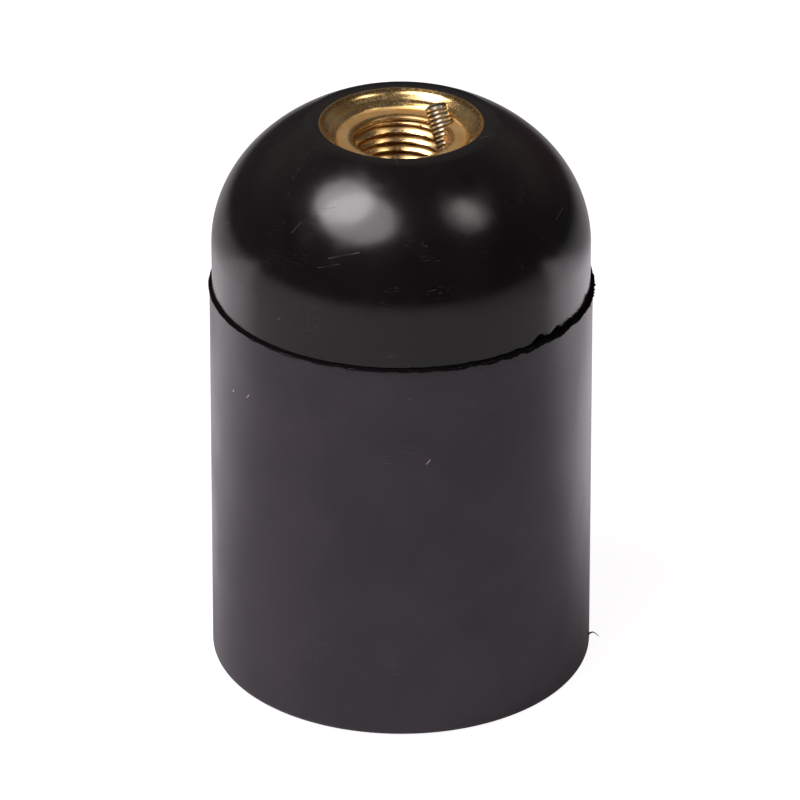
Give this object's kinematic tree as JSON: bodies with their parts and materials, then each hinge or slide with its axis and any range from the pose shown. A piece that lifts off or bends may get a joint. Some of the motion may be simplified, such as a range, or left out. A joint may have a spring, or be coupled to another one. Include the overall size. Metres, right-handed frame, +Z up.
{
  "type": "lamp holder",
  "caption": "Cylindrical moulded lamp holder with a screw-on domed cap, brass cable entry with a slanted locking screw, and an E27 screw shell inside.",
  "frame": {"origin": "centre of the skirt's mouth, on the plane that the holder stands on", "axes": "+Z up through the cable entry; -Y towards the side seen in the source view"},
  "size_m": [0.0396, 0.0396, 0.0606],
  "materials": {
    "skirt_bakelite": "satin, hand-worn thermoset",
    "cap_bakelite": "polished thermoset with scratches",
    "brass_turned": "turned",
    "rolled_brass": "rolled sheet",
    "spring_bronze": "sprung strip",
    "worn_steel": "worn",
    "plated_steel": "zinc plated",
    "porcelain": "glazed"
  },
  "bodies": {
    "skirt": {"skirt": "skirt_bakelite"},
    "core": {"contact_block": "porcelain", "screw_shell": "rolled_brass", "contact_leaf": "spring_bronze", "live_rivet": "brass_turned", "neutral_rivet": "brass_turned", "live_terminal_plate": "rolled_brass", "neutral_terminal_plate": "rolled_brass", "rear_shell_screw": "plated_steel", "front_shell_screw": "plated_steel", "rear_shell_nut": "plated_steel", "front_shell_nut": "plated_steel"},
    "cap": {"dome_cap": "cap_bakelite", "entry_insert": "brass_turned"},
    "lock_screw": {"locking_screw": "worn_steel"},
    "live_clamp": {"live_terminal_screw": "plated_steel", "live_clamp_washer": "plated_steel"},
    "neutral_clamp": {"neutral_terminal_screw": "plated_steel", "neutral_clamp_washer": "plated_steel"},
    "contact_tip": {"contact_button": "brass_turned"}
  },
  "joints": [
    {"name": "cap_turn", "type": "hinge", "parent": "skirt", "child": "core", "pos_m": [0, 0, 0.0422], "axis": [0, 0, 1], "range_deg": [0, 864]},
    {"name": "cap_lift", "type": "slide", "parent": "core", "child": "cap", "axis": [0, 0, 1], "range_m": [0, 0.0061]},
    {"name": "lock_screw_travel", "type": "slide", "parent": "cap", "child": "lock_screw", "axis": [-0.2911, 0.4319, 0.8536], "range_m": [-0.0005, 0.005]},
    {"name": "live_screw_travel", "type": "slide", "parent": "core", "child": "live_clamp", "axis": [0, 0, 1], "range_m": [0, 0.0014]},
    {"name": "neutral_screw_travel", "type": "slide", "parent": "core", "child": "neutral_clamp", "axis": [0, 0, 1], "range_m": [0, 0.0014]},
    {"name": "contact_press", "type": "slide", "parent": "core", "child": "contact_tip", "axis": [0, 0, 1], "range_m": [0, 0.0009], "stiffness_N_per_m": 1500, "deforming": ["contact_leaf"]}
  ],
  "couplings": [
    {"joint": "cap_lift", "follows": "cap_turn", "m_per_rad": 0.00039789}
  ]
}
